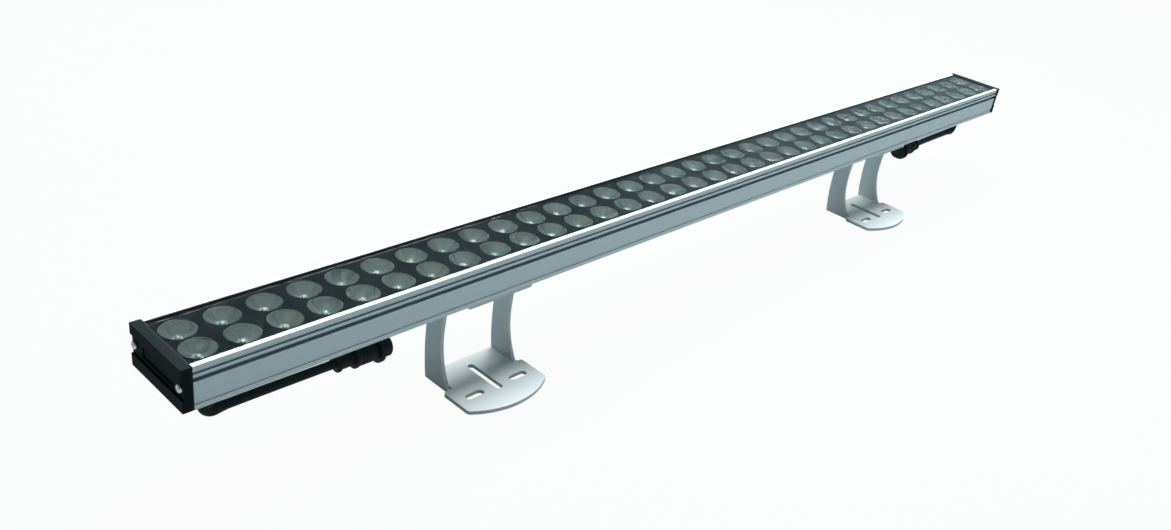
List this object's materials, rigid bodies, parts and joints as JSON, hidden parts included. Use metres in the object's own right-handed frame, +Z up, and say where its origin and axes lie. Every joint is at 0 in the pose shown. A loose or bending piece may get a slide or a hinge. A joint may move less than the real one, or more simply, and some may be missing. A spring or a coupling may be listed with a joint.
{
  "type": "outdoor wall washer light",
  "caption": "Long aluminium light bar with two rows of lenses under a glass, black end caps, plug-in cables and two tilting, sliding plate brackets.",
  "frame": {"origin": "on the ground between the two feet, at the middle of the object's footprint", "axes": "+X along the light bar from the inlet end to the outlet end, +Y away from the side the feet point to, +Z up, the way the light shines"},
  "size_m": [1.0028, 0.0864, 0.1053],
  "materials": {
    "anodised_body": "satin anodised",
    "grey_bracket": "fine matt",
    "bright_screws": "bright",
    "clear_glass": "polished",
    "clear_lens": "clear moulded",
    "black_panel": "satin",
    "black_cap": "satin",
    "black_plug": "satin",
    "black_rubber": "matt",
    "black_cable": "satin",
    "white_board": "satin",
    "yellow_led": "gloss",
    "wire_red": "satin",
    "contact_brass": "bright"
  },
  "bodies": {
    "left_foot": {"left_bracket": "grey_bracket"},
    "left_clamp": {"left_saddle": "grey_bracket", "left_saddle_pad": "black_rubber", "left_slot_nuts": "bright_screws", "left_clamp_screws": "bright_screws", "left_pivot_bolts": "bright_screws", "left_pivot_nuts": "bright_screws", "left_pivot_washers": "bright_screws"},
    "lamp": {"housing": "anodised_body", "cover_glass": "clear_glass", "glass_seals": "black_rubber", "lens_panel": "black_panel", "lenses_front_row": "clear_lens", "lenses_back_row": "clear_lens", "led_board_left": "white_board", "led_board_right": "white_board", "leds": "yellow_led", "board_screws": "bright_screws", "board_link": "white_board", "harness": "black_cable", "left_end_cap": "black_cap", "left_cap_gasket": "black_rubber", "left_cap_screws": "bright_screws", "right_end_cap": "black_cap", "right_cap_gasket": "black_rubber", "right_cap_screws": "bright_screws", "inlet_gland": "black_plug", "inlet_gland_nut": "black_plug", "inlet_tail_nut": "black_plug", "inlet_shell": "black_plug", "inlet_strain_relief": "black_cable", "inlet_cable": "black_cable", "inlet_wires": "wire_red", "outlet_gland": "black_plug", "outlet_gland_nut": "black_plug", "outlet_tail_nut": "black_plug", "outlet_shell": "black_plug", "outlet_strain_relief": "black_cable", "outlet_cable": "black_cable", "outlet_wires": "wire_red", "inlet_pins": "contact_brass", "outlet_sockets": "contact_brass"},
    "right_clamp": {"right_saddle": "grey_bracket", "right_saddle_pad": "black_rubber", "right_slot_nuts": "bright_screws", "right_clamp_screws": "bright_screws", "right_pivot_bolts": "bright_screws", "right_pivot_nuts": "bright_screws", "right_pivot_washers": "bright_screws"},
    "right_foot": {"right_bracket": "grey_bracket"},
    "inlet_ring": {"inlet_collar": "black_plug"},
    "outlet_ring": {"outlet_collar": "black_plug"}
  },
  "joints": [
    {"name": "left_tilt", "type": "hinge", "parent": "left_foot", "child": "left_clamp", "pos_m": [-0.267, 0.0137, 0.0656], "axis": [1, 0, 0], "range_deg": [-85, 85]},
    {"name": "left_slide", "type": "slide", "parent": "left_clamp", "child": "lamp", "axis": [1, 0, 0], "range_m": [-0.1, 0.036]},
    {"name": "right_slide", "type": "slide", "parent": "lamp", "child": "right_clamp", "axis": [1, 0, 0], "range_m": [-0.1, 0.036]},
    {"name": "right_tilt", "type": "hinge", "parent": "right_clamp", "child": "right_foot", "pos_m": [0.267, 0.0137, 0.0656], "axis": [1, 0, 0], "range_deg": [-85, 85]},
    {"name": "inlet_ring_turn", "type": "hinge", "parent": "lamp", "child": "inlet_ring", "pos_m": [-0.3511, 0.0137, 0.0481], "axis": [1, 0, 0], "continuous": true},
    {"name": "outlet_ring_turn", "type": "hinge", "parent": "lamp", "child": "outlet_ring", "pos_m": [0.3511, 0.0137, 0.0481], "axis": [1, 0, 0], "continuous": true}
  ],
  "couplings": [
    {"joint": "right_tilt", "follows": "left_tilt", "ratio": -1}
  ]
}
